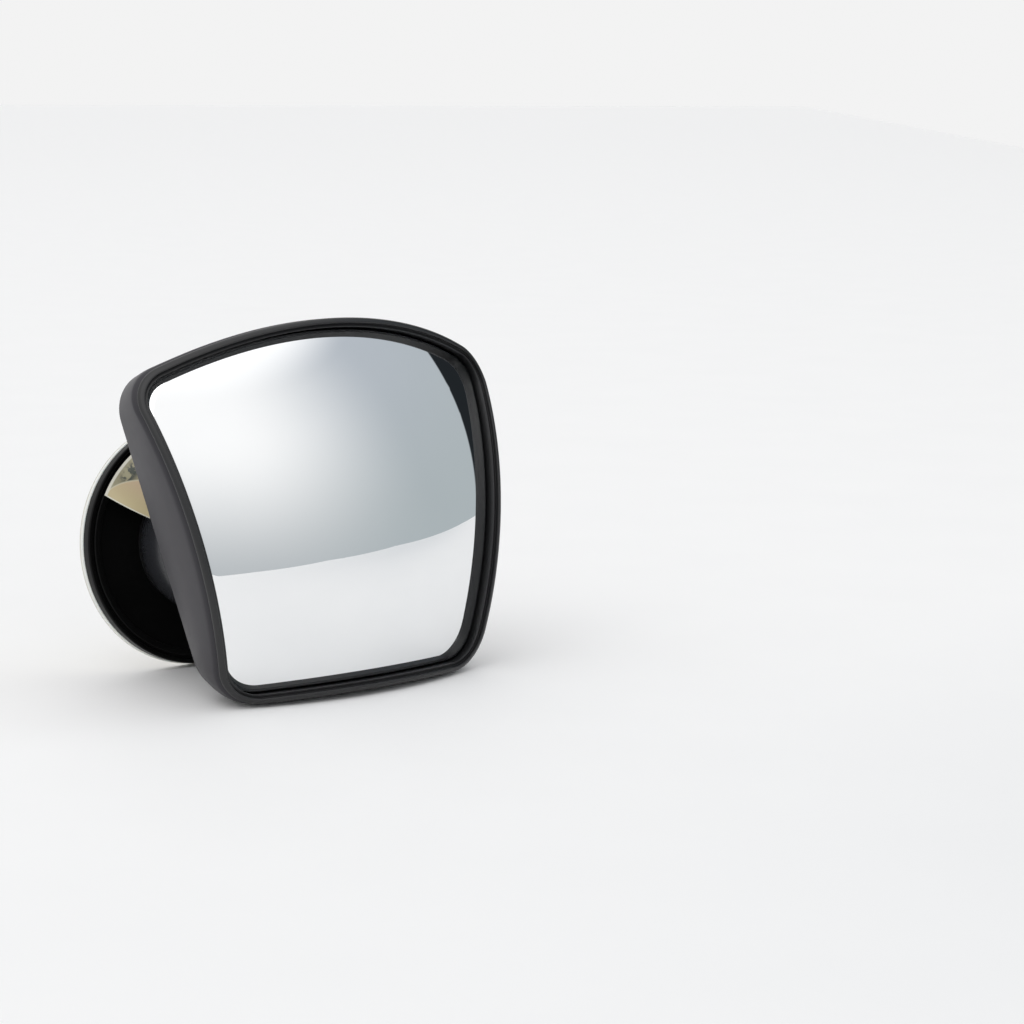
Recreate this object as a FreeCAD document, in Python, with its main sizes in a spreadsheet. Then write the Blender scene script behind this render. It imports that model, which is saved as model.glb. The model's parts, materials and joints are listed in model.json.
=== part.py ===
import FreeCAD, Part
import math
import os
import Sketcher

# Stick-on auxiliary convex mirror with a ball-jointed head, left-hand unit of a pair.
#
# The head parts are drawn in the head's own frame: X to the right, Y up, Z out of the glass,
# with the origin where the convex glass stands furthest forward. The base parts are drawn on
# their own axis, with Z = 0 at the back of the base disc. The pivot parts are drawn on the stem
# axis, with the origin at the centre of the ball joint. The last section stands the whole unit
# on the ground as it rests by itself: on the lower edge of the head and on the rim of the base.

# ---------------------------------------------------------------------------------------------
# Driving dimensions: millimetres, and degrees for the angles
# ---------------------------------------------------------------------------------------------
SIZES = {
    # outline of the glass, seen square on: straight sides that lean out, and an arched top
    "glass_mid_width": 70.2,
    "side_slope": 10.3,
    "glass_drop": 31.0,
    "crown_height": 39.5,
    "crown_radius": 94.0,
    "top_corner": 6.0,
    "bottom_corner": 7.2,
    # convex glass on its foam pad
    "glass_radius": 78.0,
    "glass_thickness": 2.0,
    "glass_gap": 0.1,
    "pad_thickness": 0.8,
    "pad_inset": 1.6,
    # front frame: a curved tray with a raised rim
    "tray_thickness": 1.6,
    "tray_inset": 0.6,
    "ledge_thickness": 0.6,
    "rim_width": 2.0,
    "rim_rise": 3.45,
    "rim_band": 1.6,
    "bead_width": 1.1,
    "bead_step": 1.1,
    "frame_boss_radius": 3.0,
    # rear housing: straight walls, a turned-in shoulder and a domed back
    "parting_gap": 0.25,
    "lip_wall": 1.4,
    "lip_fit": 0.1,
    "shell_wall": 1.8,
    "shoulder_depth": 15.8,
    "shoulder_tilt": 2.0,
    "shoulder_crown_height": 38.8,
    "shoulder_crown_radius": 104.0,
    "rear_depth": 23.3,
    "rear_tilt": 6.3,
    "rear_inset": 1.8,
    "rear_corner": 8.0,
    "cap_depth": 5.0,
    "cap_inset": 20.0,
    "cap_corner": 8.0,
    "housing_boss_radius": 4.0,
    # housing screws
    "screw_top_across": 25.0,
    "screw_top_up": 21.0,
    "screw_bottom_across": 18.0,
    "screw_bottom_down": 22.0,
    "screw_radius": 1.25,
    "screw_length": 5.5,
    "screw_head_radius": 2.4,
    "screw_head_height": 1.6,
    "screw_clearance": 0.05,
    "seat_rise": 1.5,
    "seat_floor": 2.0,
    # where the pivot is behind the glass
    "pivot_left": 12.5,
    "pivot_down": 2.8,
    "base_behind": 49.3,
    # base disc with its double rim, and the adhesive pad behind it
    "base_radius": 25.5,
    "base_floor": 1.1,
    "rim_height": 2.2,
    "outer_ring_width": 0.9,
    "groove_width": 0.6,
    "groove_height": 1.3,
    "inner_ring_width": 1.5,
    "inner_ring_height": 2.0,
    "access_bore": 5.6,
    "pad_radius": 25.7,
    "foam_thickness": 1.1,
    "liner_thickness": 0.15,
    # turret dome, held on the base by a ring
    "dome_radius": 15.0,
    "dome_centre": 9.0,
    "dome_wall": 2.2,
    "glide_thickness": 0.4,
    "glide_overhang": 0.25,
    "turn_gap": 0.05,
    "hub_radius": 8.4,
    "hub_fit": 0.08,
    "foot_lip": 1.4,
    "lip_play": 0.1,
    "retainer_overlap": 1.4,
    "retainer_thickness": 1.0,
    "retainer_screw_circle": 7.0,
    "retainer_screw_radius": 1.0,
    "retainer_screw_length": 3.0,
    "retainer_screw_head": 1.7,
    "retainer_head_height": 0.8,
    # ball joint: cup, saddle and clamp stack
    "ball_gap": 0.25,
    "cup_wall": 2.2,
    "cup_reach": 58.0,
    "cup_lip": 1.8,
    "tilt_limit": 20.0,
    "bolt_radius": 2.0,
    "bolt_fit": 0.05,
    "bolt_head_radius": 3.8,
    "bolt_head_height": 2.8,
    "bolt_key": 2.5,
    "bolt_key_depth": 1.6,
    "bolt_tip": 1.5,
    "tongue_width": 5.0,
    "slot_gap": 0.2,
    "saddle_gap": 0.15,
    "saddle_radius": 7.0,
    "saddle_base": 6.5,
    "spring_count": 3,
    "spring_radius": 5.5,
    "spring_thickness": 0.4,
    "spring_cone": 0.5,
    "spring_gap": 0.02,
    "washer_thickness": 0.8,
    "bush_wall": 1.15,
    "bush_flange": 1.0,
    "bush_flange_radius": 5.8,
    "washer_radius": 5.5,
    "nut_across_flats": 7.0,
    "nut_height": 3.6,
    "nut_collar": 1.4,
    "ring_angle": 46.0,
    "ring_section": 0.8,
    "ring_gap": 0.15,
    "ring_fit": 0.03,
    # loose film sector that leans from the base's inner ring up to the dome
    "film_thickness": 0.15,
    "film_gap": 0.1,
    "film_foot_radius": 23.9,
    "film_slope": 34.0,
    "film_length": 10.3,
    "film_spread": 49.0,
    "film_middle": 131.0,
}

doc = FreeCAD.newDocument("convex_mirror")
sheet = doc.addObject("Spreadsheet::Sheet", "dims")
for row, (alias, value) in enumerate(SIZES.items(), start=1):
    sheet.set(f"A{row}", alias)
    sheet.set(f"B{row}", str(value))
    sheet.setAlias(f"B{row}", alias)
doc.recompute()


def size(alias):
    """The number in the sheet's cell of that name."""
    return float(getattr(sheet, alias))


class Length:
    """A sum of named sizes, kept both as a number and as an expression on the sheet."""

    def __init__(self, number, text):
        self.number = number
        self.text = text

    def __add__(self, other):
        return Length(self.number + other.number, f"{self.text} + {other.text}")

    def __sub__(self, other):
        return Length(self.number - other.number, f"{self.text} - ({other.text})")


def dim(alias):
    return Length(size(alias), f"dims.{alias}")


NOTHING = Length(0.0, "0")
NODES = []


# ---------------------------------------------------------------------------------------------
# Helpers: the fan outline, and primitives bound to the sheet
# ---------------------------------------------------------------------------------------------
def origin_plane(body, role):
    return next(f for f in body.Origin.OriginFeatures if f.Role == role)


def new_body(name):
    return doc.addObject("PartDesign::Body", name)


def fan_edges(grow, top_corner, bottom_corner, crown_height, crown_radius):
    """The eight edges of the outline, grown outwards, anticlockwise from the bottom line."""
    slope = math.radians(size("side_slope"))
    outward = FreeCAD.Vector(math.cos(slope), -math.sin(slope), 0)
    upward = FreeCAD.Vector(math.sin(slope), math.cos(slope), 0)
    reach = size("glass_mid_width") / 2 * math.cos(slope) + grow
    floor = -(size("glass_drop") + grow)
    crown = crown_radius + grow
    crown_centre = FreeCAD.Vector(0, crown_height - crown_radius, 0)

    low_y = floor + bottom_corner
    low_x = (reach - bottom_corner + math.sin(slope) * low_y) / math.cos(slope)
    low = FreeCAD.Vector(low_x, low_y, 0)
    foot = outward * (reach - top_corner) - crown_centre
    along = foot.dot(upward)
    climb = -along + math.sqrt(along**2 - foot.dot(foot) + (crown - top_corner) ** 2)
    high = outward * (reach - top_corner) + upward * climb
    lean = high - crown_centre
    turn = math.atan2(lean.y, lean.x)

    def mirrored(point):
        return FreeCAD.Vector(-point.x, point.y, 0)

    def arc(centre, radius, start, end):
        return Part.ArcOfCircle(Part.Circle(centre, FreeCAD.Vector(0, 0, 1), radius), start, end)

    side_low = low + outward * bottom_corner
    side_high = high + outward * top_corner
    floor_end = FreeCAD.Vector(low.x, floor, 0)
    quarter = math.pi / 2
    return [
        Part.LineSegment(mirrored(floor_end), floor_end),
        arc(low, bottom_corner, -quarter, -slope),
        Part.LineSegment(side_low, side_high),
        arc(high, top_corner, -slope, turn),
        arc(crown_centre, crown, turn, math.pi - turn),
        arc(mirrored(high), top_corner, math.pi - turn, math.pi + slope),
        Part.LineSegment(mirrored(side_high), mirrored(side_low)),
        arc(mirrored(low), bottom_corner, math.pi + slope, 3 * quarter),
    ]


def fan_sketch(body, name, grow, level, tilt=None, corners=None, crown=("crown_height", "crown_radius")):
    """The outline of the glass grown by a length, on a plane at a level of the head's Z."""
    top, bottom = corners if corners else (dim("top_corner") + grow, dim("bottom_corner") + grow)
    crown_height, crown_radius = dim(crown[0]), dim(crown[1])
    sketch = body.newObject("Sketcher::SketchObject", name)
    sketch.AttachmentSupport = [(origin_plane(body, "XY_Plane"), "")]
    sketch.MapMode = "FlatFace"
    angle = -size(tilt) if tilt else 0.0
    turn = FreeCAD.Rotation(FreeCAD.Vector(1, 0, 0), angle)
    sketch.AttachmentOffset = FreeCAD.Placement(FreeCAD.Vector(0, 0, level.number), turn)
    sketch.setExpression("AttachmentOffset.Base.z", level.text)
    if tilt:
        sketch.setExpression("AttachmentOffset.Rotation.Angle", f"-dims.{tilt}")
    outline = fan_edges(
        grow.number, top.number, bottom.number, crown_height.number, crown_radius.number
    )
    sketch.addGeometry(outline, False)
    for edge in range(8):
        sketch.addConstraint(Sketcher.Constraint("Tangent", edge, 2, (edge + 1) % 8, 1))
    sketch.addConstraint(Sketcher.Constraint("Horizontal", 0))
    sketch.addConstraint(Sketcher.Constraint("PointOnObject", 4, 3, -2))
    sketch.addConstraint(Sketcher.Constraint("Symmetric", 2, 1, 6, 2, -2))
    sketch.addConstraint(Sketcher.Constraint("Symmetric", 2, 2, 6, 1, -2))
    arch = crown_radius + grow
    drop = dim("glass_drop") + grow
    slope = math.radians(size("side_slope"))
    reach = size("glass_mid_width") / 2 * math.cos(slope) + grow.number
    centre = crown_radius - crown_height
    reach_text = f"dims.glass_mid_width / 2 * cos(dims.side_slope) + {grow.text}"
    driven = [
        (("Radius", 4), arch.number, arch.text),
        (("DistanceY", 4, 3, -1, 1), centre.number, centre.text),
        (("Distance", -1, 1, 0), drop.number, drop.text),
        (("Radius", 1), bottom.number, bottom.text),
        (("Radius", 3), top.number, top.text),
        (("Angle", 2), math.pi / 2 - slope, "90 - dims.side_slope"),
        (("Distance", -1, 1, 2), reach, reach_text),
    ]
    for kind, number, text in driven:
        index = sketch.addConstraint(Sketcher.Constraint(*kind, number))
        sketch.setExpression(f"Constraints[{index}]", text)
    return sketch


def blank(name, grow):
    """A straight prism of the outline, long enough to pass through the whole head."""
    body = new_body(name)
    back = NOTHING - dim("base_behind")
    sketch = fan_sketch(body, name + "_outline", grow, back)
    pad = body.newObject("PartDesign::Pad", name + "_pad")
    pad.Profile = sketch
    pad.setExpression("Length", "dims.base_behind + dims.crown_height")
    return body


def place(shape, across="0", up="0", level="0"):
    for axis, text in (("x", across), ("y", up), ("z", level)):
        if text != "0":
            shape.setExpression("Placement.Base." + axis, text)
    return shape


def cylinder(name, radius, height, across="0", up="0", level="0"):
    shape = doc.addObject("Part::Cylinder", name)
    shape.setExpression("Radius", radius)
    shape.setExpression("Height", height)
    return place(shape, across, up, level)


def sphere(name, radius, level="0"):
    shape = doc.addObject("Part::Sphere", name)
    shape.setExpression("Radius", radius)
    return place(shape, level=level)


def box(name, length, width, height, level="0"):
    """A block centred on the Z axis."""
    shape = doc.addObject("Part::Box", name)
    shape.setExpression("Length", length)
    shape.setExpression("Width", width)
    shape.setExpression("Height", height)
    return place(shape, f"-({length}) / 2", f"-({width}) / 2", level)


def torus(name, ring, section, level="0"):
    shape = doc.addObject("Part::Torus", name)
    shape.setExpression("Radius1", ring)
    shape.setExpression("Radius2", section)
    return place(shape, level=level)


def hexagon(name, across_flats, height, level="0"):
    shape = doc.addObject("Part::Prism", name)
    shape.Polygon = 6
    shape.setExpression("Circumradius", f"({across_flats}) / 2 / cos(30)")
    shape.setExpression("Height", height)
    return place(shape, level=level)


def fuse(name, *shapes):
    joined = doc.addObject("Part::MultiFuse", name)
    joined.Shapes = list(shapes)
    return joined


def common(name, *shapes):
    shared = doc.addObject("Part::MultiCommon", name)
    shared.Shapes = list(shapes)
    return shared


def cut(name, base, tool):
    result = doc.addObject("Part::Cut", name)
    result.Base = base
    result.Tool = tool
    return result


def group(name, *shapes):
    compound = doc.addObject("Part::Compound", name)
    compound.Links = list(shapes)
    return compound


def ring(name, outer, inner, height, level="0"):
    """A flat washer."""
    disc = cylinder(name + "_disc", outer, height, level=level)
    hole = cylinder(name + "_hole", inner, height, level=level)
    return cut(name, disc, hole)


def turned(name, corners, spread=None):
    """A body turned about its Z axis from (radius, height) expressions, all round or as a sector."""
    body = new_body(name)
    sketch = body.newObject("Sketcher::SketchObject", name + "_profile")
    sketch.AttachmentSupport = [(origin_plane(body, "XZ_Plane"), "")]
    sketch.MapMode = "FlatFace"
    count = len(corners)
    circle = [2 * math.pi * k / count for k in range(count)]
    rough = [FreeCAD.Vector(20 + 5 * math.cos(a), 10 + 5 * math.sin(a), 0) for a in circle]
    for k in range(count):
        sketch.addGeometry(Part.LineSegment(rough[k], rough[(k + 1) % count]), False)
    for k in range(count):
        sketch.addConstraint(Sketcher.Constraint("Coincident", k, 2, (k + 1) % count, 1))
    for k, (radius, height) in enumerate(corners):
        for kind, text, axis in (("DistanceX", radius, -2), ("DistanceY", height, -1)):
            if text == "0":
                sketch.addConstraint(Sketcher.Constraint("PointOnObject", k, 1, axis))
                continue
            index = sketch.addConstraint(Sketcher.Constraint(kind, -1, 1, k, 1, 1.0))
            sketch.setExpression(f"Constraints[{index}]", text)
    turn = body.newObject("PartDesign::Revolution", name + "_turn")
    turn.Profile = sketch
    turn.ReferenceAxis = (sketch, ["V_Axis"])
    turn.Angle = 360.0
    if spread:
        turn.Midplane = True
        turn.setExpression("Angle", spread)
    return body


def node(shape, label, frame):
    """Names a finished piece and notes which frame it was drawn in."""
    shape.Label = label
    NODES.append((shape, frame, shape.Placement))


# ---------------------------------------------------------------------------------------------
# Head: glass, pad, front frame
# ---------------------------------------------------------------------------------------------
front_centre = "-dims.glass_radius"
glass_back = "dims.glass_radius - dims.glass_thickness"
pad_back = f"{glass_back} - dims.pad_thickness"
tray_back = f"{pad_back} - dims.tray_thickness"
rim_centre = "-dims.glass_radius + dims.rim_rise"

glass_front_ball = sphere("glass_front_ball", "dims.glass_radius", front_centre)
glass_back_ball = sphere("glass_back_ball", glass_back, front_centre)
pad_back_ball = sphere("pad_back_ball", pad_back, front_centre)
tray_back_ball = sphere("tray_back_ball", tray_back, front_centre)

glass_blank = blank("glass_blank", NOTHING)
glass_layer = cut("glass_layer", glass_front_ball, glass_back_ball)
mirror_glass = common("mirror_glass", glass_blank, glass_layer)
node(mirror_glass, "mirror_glass", "head")

pad_blank = blank("pad_blank", NOTHING - dim("pad_inset"))
pad_room = blank("pad_room", dim("glass_gap") - dim("pad_inset"))
pad_layer = cut("pad_layer", glass_back_ball, pad_back_ball)
glass_pad = common("glass_pad", pad_blank, pad_layer)
node(glass_pad, "glass_pad", "head")

# The rim is a band of the outline between two spheres, stepped down on its inner side.
rim_top_ball = sphere("rim_top_ball", "dims.glass_radius", rim_centre)
rim_step_ball = sphere("rim_step_ball", "dims.glass_radius", f"{rim_centre} - dims.bead_step")
band_ball = sphere("band_ball", "dims.glass_radius", f"{rim_centre} - dims.rim_band")
rim_blank = blank("rim_blank", dim("rim_width"))
rim_slab = common("rim_slab", rim_blank, cut("rim_layer", rim_top_ball, band_ball))
ledge_back_ball = sphere("ledge_back_ball", f"{glass_back} - dims.ledge_thickness", front_centre)
skirt_blank = blank("skirt_blank", dim("rim_width") - dim("lip_wall") - dim("lip_fit"))
skirt_slab = common("skirt_slab", skirt_blank, cut("skirt_layer", rim_step_ball, ledge_back_ball))
tray_blank = blank("tray_blank", NOTHING - dim("tray_inset"))
tray_slab = common("tray_slab", tray_blank, cut("tray_layer", glass_back_ball, tray_back_ball))
recess_blank = blank("recess_blank", dim("glass_gap"))
glass_recess = cut("glass_recess", recess_blank, glass_back_ball)
pad_recess = cut("pad_recess", pad_room, pad_back_ball)
bead_blank = blank("bead_blank", dim("rim_width") - dim("bead_width"))
bead_cut = cut("bead_cut", bead_blank, rim_step_ball)
tray_body = cut(
    "tray_body", fuse("tray_joined", rim_slab, skirt_slab, tray_slab),
    fuse("tray_cuts", glass_recess, pad_recess, bead_cut),
)


def seat_level(up):
    """Where a housing screw's head bears, a little in front of the tilted rear edge."""
    return f"-(dims.rear_depth + ({up}) * tan(dims.rear_tilt)) + dims.seat_rise"


SCREW_PLACES = {
    "top_left": ("-dims.screw_top_across", "dims.screw_top_up"),
    "top_right": ("dims.screw_top_across", "dims.screw_top_up"),
    "bottom_left": ("-dims.screw_bottom_across", "-dims.screw_bottom_down"),
    "bottom_right": ("dims.screw_bottom_across", "-dims.screw_bottom_down"),
}


def screw(name, radius, length, head_radius, head_height):
    """A pan-head screw along Z with its head's underside at Z = 0."""
    shank = cylinder(name + "_shank", radius, length)
    head = cylinder(name + "_head", head_radius, head_height, level=f"-({head_height})")
    slot_width = f"({head_radius}) / 4"
    across = f"({head_radius}) * 1.2"
    depth = f"({head_height}) / 2"
    bottom = f"-({head_height})"
    arm = box(name + "_arm", across, slot_width, depth, bottom)
    cross = box(name + "_cross", slot_width, across, depth, bottom)
    return cut(name, fuse(name + "_body", shank, head), fuse(name + "_drive", arm, cross))


frame_bosses, frame_pilots, shell_bosses, shell_holes, screws = [], [], [], [], []
for corner, (across, up) in SCREW_PLACES.items():
    seat = seat_level(up)
    meet = f"{seat} + dims.seat_floor"
    frame_bosses.append(
        cylinder(f"frame_boss_{corner}", "dims.frame_boss_radius", "dims.glass_radius", across, up, meet)
    )
    pilot_depth = "dims.screw_length - dims.seat_floor + dims.screw_clearance"
    pilot_radius = "dims.screw_radius + dims.screw_clearance"
    frame_pilots.append(cylinder(f"frame_pilot_{corner}", pilot_radius, pilot_depth, across, up, meet))
    shell_bosses.append(
        cylinder(
            f"shell_boss_{corner}", "dims.housing_boss_radius", "dims.base_behind", across, up,
            f"{meet} - dims.base_behind",
        )
    )
    through = cylinder(f"through_{corner}", pilot_radius, "dims.seat_floor", across, up, seat)
    head_room = "dims.screw_head_radius + 4 * dims.screw_clearance"
    counterbore = cylinder(
        f"counterbore_{corner}", head_room, "dims.base_behind", across, up, f"{seat} - dims.base_behind"
    )
    shell_holes += [through, counterbore]
    fastener = screw(
        f"screw_{corner}", "dims.screw_radius", "dims.screw_length", "dims.screw_head_radius",
        "dims.screw_head_height",
    )
    screws.append(place(fastener, across, up, seat))

boss_limit = sphere("boss_limit", f"{tray_back} + dims.tray_thickness / 2", front_centre)
frame_posts = common("frame_posts", fuse("frame_bosses", *frame_bosses), boss_limit)
front_frame = cut(
    "front_frame", fuse("frame_with_posts", tray_body, frame_posts), fuse("frame_pilots", *frame_pilots)
)
node(front_frame, "front_frame", "head")
node(group("housing_screws", *screws), "housing_screws", "head")


# ---------------------------------------------------------------------------------------------
# Head: rear housing
# ---------------------------------------------------------------------------------------------
CAP_ANGLES = (35, 60, 90)


def shell_body(name, inward):
    """The housing's outside, or its inside when moved inward by the wall."""
    body = new_body(name)
    side = dim("rim_width") - inward
    rear = side - dim("rear_inset")
    front_level = dim("rim_rise") + dim("cap_depth")
    shoulder_level = NOTHING - dim("shoulder_depth")
    rear_level = NOTHING - dim("rear_depth")
    front = fan_sketch(body, name + "_front", side, front_level)
    shoulder = fan_sketch(
        body, name + "_shoulder", side, shoulder_level, "shoulder_tilt",
        crown=("shoulder_crown_height", "shoulder_crown_radius"),
    )
    turned_in = dim("rear_corner") - inward
    edge = fan_sketch(body, name + "_edge", rear, rear_level, "rear_tilt", (turned_in, turned_in))
    walls = body.newObject("PartDesign::AdditiveLoft", name + "_walls")
    walls.Profile = front
    walls.Sections = [shoulder, edge]
    walls.Ruled = True
    depth = dim("cap_depth") - inward
    sections = []
    for angle in CAP_ANGLES:
        fall = f"(1 - cos({angle}))"
        rise = f"sin({angle})"
        cap_in = Length(
            size("cap_inset") * (1 - math.cos(math.radians(angle))), f"dims.cap_inset * {fall}"
        )
        cap_back = Length(depth.number * math.sin(math.radians(angle)), f"({depth.text}) * {rise}")
        sections.append(
            fan_sketch(
                body, f"{name}_cap_{angle}", rear - cap_in, rear_level - cap_back, "rear_tilt",
                (dim("cap_corner"), dim("cap_corner")),
            )
        )
    cap = body.newObject("PartDesign::AdditiveLoft", name + "_cap")
    cap.Profile = edge
    cap.Sections = sections
    return body


pivot_level = "-dims.base_behind + dims.dome_centre"
pivot_x = "-dims.pivot_left"
pivot_y = "-dims.pivot_down"
cup_radius = "dims.dome_radius + dims.ball_gap"
cup_edge = f"({cup_radius}) * sin(dims.cup_reach) + dims.cup_lip"
cup_start = f"({cup_radius}) * cos(dims.cup_reach)"
cup_front = f"{cup_radius} + dims.cup_wall"

shell_outside = shell_body("shell_outside", NOTHING)
shell_inside = shell_body("shell_inside", dim("shell_wall"))
parting_ball = sphere(
    "parting_ball", "dims.glass_radius", f"{rim_centre} - dims.rim_band - dims.parting_gap"
)
cup_boss = cylinder(
    "cup_boss", cup_edge, f"{cup_front} - ({cup_start})", pivot_x, pivot_y, f"{pivot_level} + {cup_start}"
)
lip_blank = blank("lip_blank", dim("rim_width") - dim("lip_wall"))
lip_seat = f"{glass_back} - dims.ledge_thickness - dims.lip_fit"
lip_room = cut("lip_room", lip_blank, sphere("lip_seat_ball", lip_seat, front_centre))
tray_room_blank = blank("tray_room_blank", dim("lip_fit") - dim("tray_inset"))
tray_seat_ball = sphere("tray_seat_ball", f"{tray_back} - dims.lip_fit", front_centre)
tray_room = cut("tray_room", tray_room_blank, tray_seat_ball)
cavity = cut(
    "cavity", fuse("cavity_whole", shell_inside, lip_room, tray_room),
    fuse("cavity_posts", cup_boss, *shell_bosses),
)
shell_block = fuse("shell_block", common("shell_trimmed", shell_outside, parting_ball), cup_boss)
cup_ball = place(sphere("cup_ball", cup_radius), pivot_x, pivot_y, pivot_level)
bush_hole_radius = "dims.bolt_radius + dims.bolt_fit + dims.bush_wall"
bush_hole = cylinder(
    "bush_hole", bush_hole_radius, cup_front, pivot_x, pivot_y, f"{pivot_level}"
)
ring_place = "(dims.dome_radius + dims.ring_gap + dims.ring_section)"
ring_circle = f"{ring_place} * sin(dims.ring_angle)"
ring_level = f"{ring_place} * cos(dims.ring_angle)"
ring_groove = place(
    torus("ring_groove", ring_circle, "dims.ring_section + dims.ring_fit"), pivot_x, pivot_y,
    f"{pivot_level} + {ring_level}",
)
rear_housing = cut(
    "rear_housing", shell_block,
    fuse("housing_cuts", cavity, cup_ball, bush_hole, ring_groove, *shell_holes),
)
node(rear_housing, "rear_housing", "head")

# ---------------------------------------------------------------------------------------------
# Ball joint: parts on the stem axis
# ---------------------------------------------------------------------------------------------
ring_torus = torus("ring_torus", ring_circle, "dims.ring_section", ring_level)
node(group("friction_ring", ring_torus), "friction_ring", "pivot")

bolt_hole = "dims.bolt_radius + dims.bolt_fit"
bush_length = "dims.cup_wall"
bush_tube = ring("bush_tube", f"{bolt_hole} + dims.bush_wall - dims.bolt_fit", bolt_hole, bush_length, cup_radius)
bush_head = ring("bush_head", "dims.bush_flange_radius", bolt_hole, "dims.bush_flange", cup_front)
node(fuse("pivot_bushing", bush_tube, bush_head), "pivot_bushing", "pivot")

washer_level = f"{cup_front} + dims.bush_flange + dims.turn_gap"
thrust_washer = ring("thrust_washer", "dims.washer_radius", bolt_hole, "dims.washer_thickness", washer_level)
node(thrust_washer, "thrust_washer", "pivot")

nut_level = f"{washer_level} + dims.washer_thickness"
nut_hex = hexagon("nut_hex", "dims.nut_across_flats", "dims.nut_height", nut_level)
nut_top = cylinder(
    "nut_top", "dims.nut_across_flats / 2", "dims.nut_collar", level=f"{nut_level} + dims.nut_height"
)
nut_bore = cylinder("nut_bore", bolt_hole, "dims.nut_height + dims.nut_collar", level=nut_level)
lock_nut = cut("lock_nut", fuse("nut_solid", nut_hex, nut_top), nut_bore)
node(lock_nut, "lock_nut", "pivot")

# The saddle presses on the dome from inside, and its tongue slides along the dome's slot.
saddle_ball = sphere("saddle_ball", "dims.dome_radius - dims.dome_wall - dims.saddle_gap")
saddle_post = cylinder("saddle_post", "dims.saddle_radius", "dims.dome_radius", level="dims.saddle_base")
tongue = box(
    "tongue", "dims.tongue_width", "dims.tongue_width",
    "dims.dome_radius - dims.saddle_base - 2 * dims.slot_gap", "dims.saddle_base",
)
saddle_cap = common("saddle_cap", saddle_ball, saddle_post)
saddle_bore = cylinder("saddle_bore", bolt_hole, "dims.dome_radius", level="dims.saddle_base")
friction_saddle = cut("friction_saddle", fuse("saddle_solid", saddle_cap, tongue), saddle_bore)
node(friction_saddle, "friction_saddle", "pivot")

# Conical spring washers stand cone to cone, so each one is the last turned over.
spring_height = "(dims.spring_thickness + dims.spring_cone)"
spring_pitch = f"({spring_height} + dims.spring_gap)"
springs = []
for turn_number in range(int(size("spring_count"))):
    wide_low = turn_number % 2 == 0
    inner_rise = "dims.spring_cone" if wide_low else "0"
    outer_rise = "0" if wide_low else "dims.spring_cone"
    level = f"dims.saddle_base - {turn_number + 1} * {spring_pitch}"
    springs.append(
        turned(
            f"spring_{turn_number}",
            [
                (bolt_hole, f"{level} + {inner_rise}"),
                ("dims.spring_radius", f"{level} + {outer_rise}"),
                ("dims.spring_radius", f"{level} + {outer_rise} + dims.spring_thickness"),
                (bolt_hole, f"{level} + {inner_rise} + dims.spring_thickness"),
            ],
        )
    )
node(group("disc_springs", *springs), "disc_springs", "pivot")

plate_top = f"dims.saddle_base - dims.spring_count * {spring_pitch} - dims.spring_gap"
spring_washer = ring(
    "spring_washer", "dims.spring_radius", bolt_hole, "dims.washer_thickness",
    f"{plate_top} - dims.washer_thickness",
)
node(spring_washer, "spring_washer", "pivot")

bolt_seat = f"{plate_top} - dims.washer_thickness"
bolt_end = f"{nut_level} + dims.nut_height + dims.nut_collar + dims.bolt_tip"
bolt_shank = cylinder("bolt_shank", "dims.bolt_radius", f"{bolt_end} - ({bolt_seat})", level=bolt_seat)
bolt_head = cylinder(
    "bolt_head", "dims.bolt_head_radius", "dims.bolt_head_height",
    level=f"{bolt_seat} - dims.bolt_head_height",
)
bolt_socket = hexagon(
    "bolt_socket", "dims.bolt_key", "dims.bolt_key_depth", f"{bolt_seat} - dims.bolt_head_height"
)
pivot_bolt = cut("pivot_bolt", fuse("bolt_solid", bolt_shank, bolt_head), bolt_socket)
node(pivot_bolt, "pivot_bolt", "pivot")

# ---------------------------------------------------------------------------------------------
# Turret dome and base
# ---------------------------------------------------------------------------------------------
foot_level = "dims.base_floor + dims.glide_thickness + dims.turn_gap"
lip_level = f"{foot_level} + dims.foot_lip"
hub_level = f"{lip_level} + dims.lip_play"

dome_ball = sphere("dome_ball", "dims.dome_radius", "dims.dome_centre")
dome_core = sphere("dome_core", "dims.dome_radius - dims.dome_wall", "dims.dome_centre")
above_foot = cylinder("above_foot", "dims.dome_radius", "2 * dims.dome_radius", level=foot_level)
above_lip = cylinder("above_lip", "dims.dome_radius", "2 * dims.dome_radius", level=lip_level)
foot_bore = cylinder("foot_bore", "dims.hub_radius + dims.hub_fit", "dims.dome_centre", level=foot_level)
tongue_corner = "atan(dims.tongue_width / 2 / (dims.dome_radius - dims.dome_wall))"
tongue_swing = f"(dims.tilt_limit * 1 deg + {tongue_corner})"
dome_slot = box(
    "dome_slot", "dims.tongue_width + 2 * dims.slot_gap",
    f"2 * (dims.dome_radius * sin({tongue_swing}) + dims.slot_gap)", "dims.dome_radius",
    "dims.dome_centre + dims.saddle_base + dims.slot_gap",
)
turret_dome = cut(
    "turret_dome", common("dome_outside", dome_ball, above_foot),
    fuse("dome_cuts", common("dome_room", dome_core, above_lip), foot_bore, dome_slot),
)
node(turret_dome, "turret_dome", "base")

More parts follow.
